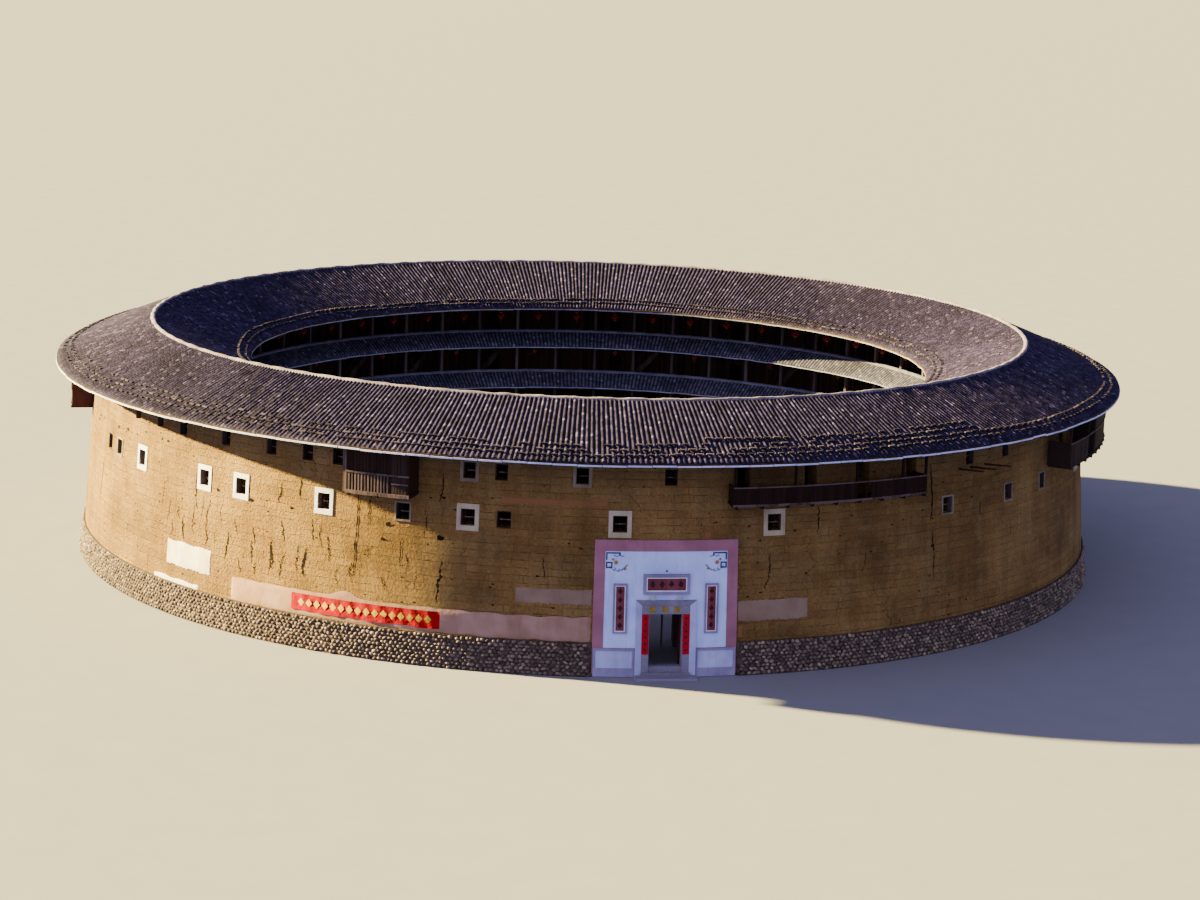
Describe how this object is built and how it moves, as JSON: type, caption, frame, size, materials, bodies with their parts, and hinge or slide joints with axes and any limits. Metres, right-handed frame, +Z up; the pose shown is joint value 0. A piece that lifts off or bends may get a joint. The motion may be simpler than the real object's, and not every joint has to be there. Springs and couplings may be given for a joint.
{
  "type": "tulou roundhouse, 1:2 scale model",
  "caption": "Round rammed-earth communal house round an open court, with tiled roof, inner galleries, timber lookouts and a plastered gate with two leaves. Scale model at 1:2.",
  "frame": {"origin": "On the ground at the centre of the round court; the ring is centred on it and stands on z = 0.", "axes": "+Z up, the gate faces -Y, +X is to the right of a person who looks at the gate from outside."},
  "size_m": [33.9964, 33.9964, 7.33],
  "materials": {
    "cobble": "river cobbles in earth mortar, rough and dusty",
    "earth": "rammed earth, matt, with lift lines, cracks and washed patches",
    "cut_stone": "dressed grey stone, worn",
    "plaster_white": "bluish white lime plaster, stained",
    "plaster_pink": "pink lime wash, faded",
    "painted_board": "dusty red paint on board",
    "gate_wood": "thick planks, dark red stain, worn",
    "floor_wood": "bare boards, greyed",
    "dark_timber": "unpainted timber, dark with smoke and age",
    "weathered_timber": "weathered planks and poles",
    "skirt_tile": "grey clay tiles with a pale mortar line",
    "roof_tile": "unglazed grey clay tiles, mottled",
    "ridge_mortar": "pale lime mortar with grey tile",
    "banner_cloth": "red cloth"
  },
  "bodies": {
    "house": {"cobble_plinth": "cobble", "wall_1": "earth", "wall_2": "earth", "wall_3": "earth", "wall_4": "earth", "wall_5": "earth", "wall_6": "earth", "wall_over_gate": "earth", "gate_stone_frame": "cut_stone", "gate_threshold": "cut_stone", "gate_lintel": "dark_timber", "gate_plaster_panel": "plaster_white", "gate_border": "plaster_pink", "gate_plaque": "painted_board", "gate_scroll_left": "painted_board", "gate_scroll_right": "painted_board", "floor_2": "floor_wood", "floor_3": "floor_wood", "floor_4": "floor_wood", "gallery_frame_1": "dark_timber", "gallery_frame_2": "dark_timber", "gallery_frame_3": "dark_timber", "gallery_frame_4": "dark_timber", "skirt_roof_2": "skirt_tile", "skirt_roof_3": "skirt_tile", "skirt_roof_4": "skirt_tile", "room_front_1": "dark_timber", "room_front_2": "dark_timber", "room_front_3": "dark_timber", "room_front_4": "dark_timber", "stair_1": "dark_timber", "stair_2": "dark_timber", "stair_3": "dark_timber", "stair_4": "dark_timber", "stair_5": "dark_timber", "roof_front": "roof_tile", "roof_back": "roof_tile", "roof_ridge": "ridge_mortar", "lookout_1": "weathered_timber", "lookout_2": "weathered_timber", "lookout_3": "weathered_timber", "lookout_4": "weathered_timber", "banner": "banner_cloth"},
    "leaf_left": {"gate_leaf_left": "gate_wood"},
    "leaf_right": {"gate_leaf_right": "gate_wood"}
  },
  "joints": [
    {"name": "gate_leaf_left_hinge", "type": "hinge", "parent": "house", "child": "leaf_left", "pos_m": [-0.51, -15.9175, 0.9], "axis": [0, 0, -1], "range_deg": [0, 90]},
    {"name": "gate_leaf_right_hinge", "type": "hinge", "parent": "house", "child": "leaf_right", "pos_m": [0.51, -15.9175, 0.9], "axis": [0, 0, 1], "range_deg": [0, 90]}
  ]
}
